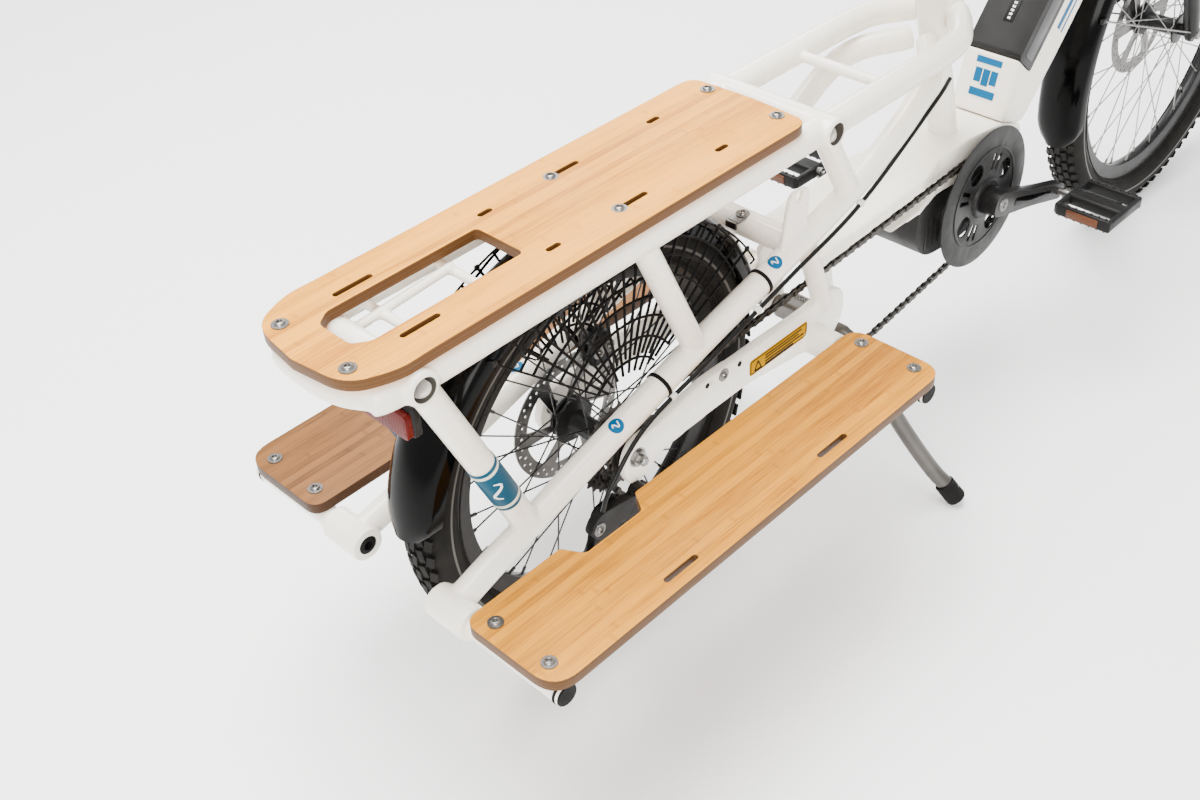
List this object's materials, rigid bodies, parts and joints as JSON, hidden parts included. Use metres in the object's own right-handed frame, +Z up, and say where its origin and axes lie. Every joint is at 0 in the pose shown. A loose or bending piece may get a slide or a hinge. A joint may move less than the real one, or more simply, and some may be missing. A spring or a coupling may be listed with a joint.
{
  "type": "electric cargo bicycle",
  "caption": "Electric cargo bicycle with a low wooden rear deck, wooden side boards, a small rear wheel, a motor at the crank and a two-legged centre stand.",
  "frame": {"origin": "on the ground under the middle of the bicycle's bounding box", "axes": "+X to the front of the bicycle, +Y to its left, +Z up"},
  "size_m": [1.97, 0.6862, 1.0901],
  "materials": {
    "frame_paint": "gloss cream white",
    "bamboo": "satin oiled bamboo",
    "motor_black": "matt",
    "chain_steel": "oiled steel",
    "black_alloy": "satin black",
    "guard_plastic": "matt black",
    "fender_gloss": "gloss black",
    "red_lens": "clear red lens",
    "skirt_cord": "elastic cord",
    "tyre_rubber": "matt rubber",
    "rim_black": "satin black",
    "rotor_steel": "ground steel",
    "brushed_stand": "brushed",
    "grip_rubber": "matt",
    "saddle_cover": "satin",
    "battery_case": "fine texture"
  },
  "bodies": {
    "frame": {"head_tube": "frame_paint", "down_tube": "frame_paint", "top_tube": "frame_paint", "seat_tube": "frame_paint", "rack_frame": "frame_paint", "yoke": "frame_paint", "chainstay_right": "frame_paint", "chainstay_left": "frame_paint", "stay_right": "frame_paint", "stay_left": "frame_paint", "fender_bridge": "frame_paint", "deck_board": "bamboo", "side_board_right": "bamboo", "side_board_left": "bamboo", "board_tube_rear_right": "frame_paint", "board_tube_front_right": "frame_paint", "board_tube_rear_left": "frame_paint", "board_tube_front_left": "frame_paint", "motor": "motor_black", "chain": "chain_steel", "derailleur": "black_alloy", "rear_fender": "fender_gloss", "rear_light": "red_lens", "skirt_guard_right": "skirt_cord", "skirt_guard_left": "skirt_cord", "rear_caliper": "black_alloy", "seat_clamp": "motor_black", "gear_cable": "grip_rubber"},
    "steering": {"fork": "frame_paint", "stem": "black_alloy", "handlebar": "black_alloy", "grip_right": "grip_rubber", "grip_left": "grip_rubber", "lever_mount_right": "black_alloy", "lever_mount_left": "black_alloy", "display": "motor_black", "headlight": "motor_black", "front_fender": "fender_gloss", "front_caliper": "black_alloy"},
    "front_wheel": {"front_wheel_tyre": "tyre_rubber", "front_wheel_rim": "rim_black", "front_rotor": "rotor_steel"},
    "rear_wheel": {"rear_wheel_tyre": "tyre_rubber", "rear_wheel_rim": "rim_black", "rear_rotor": "rotor_steel"},
    "cassette": {"cassette": "chain_steel"},
    "crank": {"crank": "black_alloy", "chain_ring": "black_alloy", "chain_guard": "guard_plastic"},
    "pedal_right": {"pedal_right": "guard_plastic"},
    "pedal_left": {"pedal_left": "guard_plastic"},
    "guide_pulley": {"guide_pulley": "guard_plastic"},
    "tension_pulley": {"tension_pulley": "guard_plastic"},
    "stand": {"center_stand": "brushed_stand"},
    "seat": {"seatpost": "black_alloy", "saddle": "saddle_cover"},
    "seat_lever": {"seat_lever": "rotor_steel"},
    "brake_lever_right": {"brake_lever_right": "black_alloy"},
    "brake_lever_left": {"brake_lever_left": "black_alloy"},
    "battery": {"battery": "battery_case"}
  },
  "joints": [
    {"name": "steering_turn", "type": "hinge", "parent": "frame", "child": "steering", "pos_m": [0.49, 0, 0.676], "axis": [-0.3454, 0, 0.9385], "range_deg": [-50, 50]},
    {"name": "front_wheel_spin", "type": "hinge", "parent": "steering", "child": "front_wheel", "pos_m": [0.674, 0, 0.311], "axis": [0, 1, 0], "continuous": true},
    {"name": "rear_wheel_spin", "type": "hinge", "parent": "frame", "child": "rear_wheel", "pos_m": [-0.642, 0, 0.3], "axis": [0, 1, 0], "continuous": true},
    {"name": "crank_spin", "type": "hinge", "parent": "frame", "child": "crank", "pos_m": [0.066, 0, 0.292], "axis": [0, 1, 0], "continuous": true},
    {"name": "cassette_spin", "type": "hinge", "parent": "frame", "child": "cassette", "pos_m": [-0.642, 0, 0.3], "axis": [0, 1, 0], "continuous": true},
    {"name": "guide_pulley_spin", "type": "hinge", "parent": "frame", "child": "guide_pulley", "pos_m": [-0.668, -0.05, 0.222], "axis": [0, 1, 0], "continuous": true},
    {"name": "tension_pulley_spin", "type": "hinge", "parent": "frame", "child": "tension_pulley", "pos_m": [-0.69, -0.05, 0.15], "axis": [0, 1, 0], "continuous": true},
    {"name": "pedal_right_spin", "type": "hinge", "parent": "crank", "child": "pedal_right", "pos_m": [0.22578, -0.1, 0.24009], "axis": [0, 1, 0], "continuous": true},
    {"name": "pedal_left_spin", "type": "hinge", "parent": "crank", "child": "pedal_left", "pos_m": [-0.09378, 0.1, 0.34391], "axis": [0, 1, 0], "continuous": true},
    {"name": "stand_fold", "type": "hinge", "parent": "frame", "child": "stand", "pos_m": [-0.262, 0, 0.25], "axis": [0, 1, 0], "range_deg": [0, 75]},
    {"name": "seat_height", "type": "slide", "parent": "frame", "child": "seat", "axis": [-0.2943, 0, 0.9557], "range_m": [-0.03, 0.11]},
    {"name": "seat_lever_open", "type": "hinge", "parent": "frame", "child": "seat_lever", "pos_m": [-0.08581, 0, 0.663], "axis": [0, 0, 1], "range_deg": [0, 100]},
    {"name": "brake_right_pull", "type": "hinge", "parent": "steering", "child": "brake_lever_right", "pos_m": [0.448, -0.194, 1.061], "axis": [0, 0, -1], "range_deg": [0, 10], "stiffness_Nm_per_rad": 1.2, "springref_deg": -5.73},
    {"name": "brake_left_pull", "type": "hinge", "parent": "steering", "child": "brake_lever_left", "pos_m": [0.448, 0.194, 1.061], "axis": [0, 0, 1], "range_deg": [0, 10], "stiffness_Nm_per_rad": 1.2, "springref_deg": -5.73},
    {"name": "battery_slide", "type": "slide", "parent": "frame", "child": "battery", "axis": [0, 1, 0], "range_m": [0, 0.1]}
  ],
  "couplings": [
    {"joint": "cassette_spin", "follows": "crank_spin", "ratio": 2},
    {"joint": "guide_pulley_spin", "follows": "crank_spin", "ratio": -3},
    {"joint": "tension_pulley_spin", "follows": "crank_spin", "ratio": 3}
  ]
}
